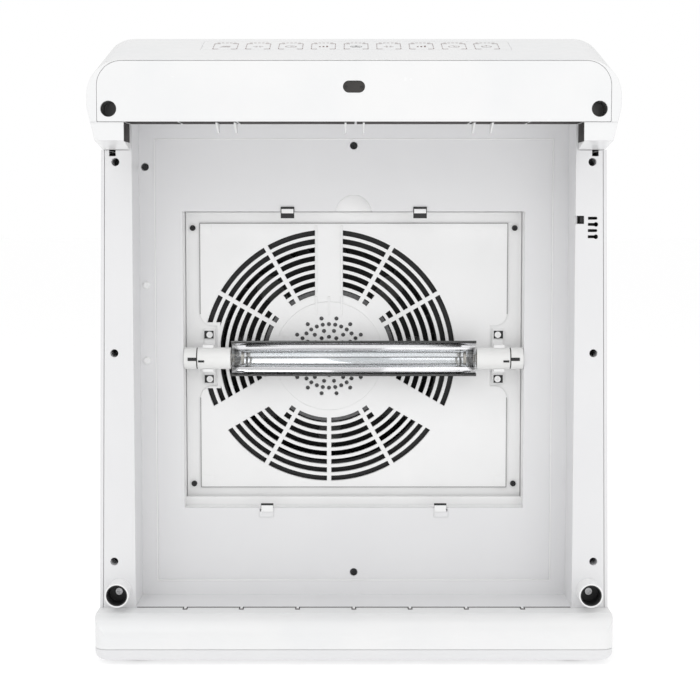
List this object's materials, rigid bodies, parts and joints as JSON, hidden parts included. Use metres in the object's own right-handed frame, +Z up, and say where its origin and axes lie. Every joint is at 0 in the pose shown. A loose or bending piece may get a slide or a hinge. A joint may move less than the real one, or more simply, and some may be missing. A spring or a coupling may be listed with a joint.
{
  "type": "air purifier",
  "caption": "Floor-standing air purifier body, front cover and filters off: filter recess, fan guard, lamp in a bright trough, sloped control head and plinth base.",
  "frame": {"origin": "on the floor under the middle of the body", "axes": "+X to the right seen from the front, +Y to the back, +Z up"},
  "size_m": [0.4538, 0.229, 0.549],
  "materials": {
    "white_gloss": "satin gloss, fine moulding grain",
    "white_satin": "satin",
    "grey_plastic": "satin",
    "black_plastic": "matt",
    "rubber": "matt",
    "steel": "zinc plated",
    "aluminium": "satin",
    "mirror_metal": "polished",
    "lamp_glass": "clear",
    "circuit_board": "solder mask"
  },
  "bodies": {
    "housing": {"air_sensor": "grey_plastic", "base": "white_gloss", "base_pan": "white_gloss", "base_screws": "steel", "board_components": "black_plastic", "control_overlay": "white_gloss", "cover_socket_left": "white_satin", "cover_socket_right": "white_satin", "fan_guard": "white_satin", "fan_tray": "white_satin", "feet": "rubber", "frame_screws": "steel", "front_frame": "white_satin", "guard_screws": "steel", "head_fascia": "white_gloss", "head_shell": "white_gloss", "holder_screws": "steel", "inlet_pins": "steel", "interlock_switch": "white_satin", "lamp_ballast": "aluminium", "lamp_boot_left": "white_satin", "lamp_boot_right": "white_satin", "lamp_caps": "aluminium", "lamp_filaments": "steel", "lamp_glass": "lamp_glass", "lamp_holder_left": "white_satin", "lamp_holder_right": "white_satin", "lamp_pins": "steel", "lamp_reflector": "mirror_metal", "lamp_sleeve_left": "white_satin", "lamp_sleeve_right": "white_satin", "main_board": "circuit_board", "mains_inlet": "black_plastic", "motor_bearings": "steel", "motor_can": "steel", "motor_cap": "steel", "motor_screws": "steel", "motor_stator": "steel", "outlet_duct": "grey_plastic", "outlet_grille": "white_satin", "pan_screws": "steel", "pin_cups": "black_plastic", "rear_shell": "white_gloss", "receiver_board": "circuit_board", "receiver_lens": "black_plastic", "receiver_screws": "steel", "screw_plugs": "white_satin", "scroll_front": "grey_plastic", "scroll_housing": "grey_plastic", "socket_cup_left": "black_plastic", "socket_cup_right": "black_plastic", "socket_screws": "steel", "touch_board": "circuit_board", "touch_springs": "steel"},
    "impeller": {"impeller": "black_plastic", "impeller_nut": "steel", "motor_shaft": "steel", "motor_rotor": "steel"},
    "plunger": {"interlock_plunger": "black_plastic"}
  },
  "joints": [
    {"name": "impeller_spin", "type": "hinge", "parent": "housing", "child": "impeller", "pos_m": [-0.0228, 0.06, 0.26], "axis": [0, 1, 0], "continuous": true},
    {"name": "interlock_press", "type": "slide", "parent": "housing", "child": "plunger", "axis": [0, 1, 0], "range_m": [0, 0.003], "stiffness_N_per_m": 300, "springref_m": -0.001}
  ]
}
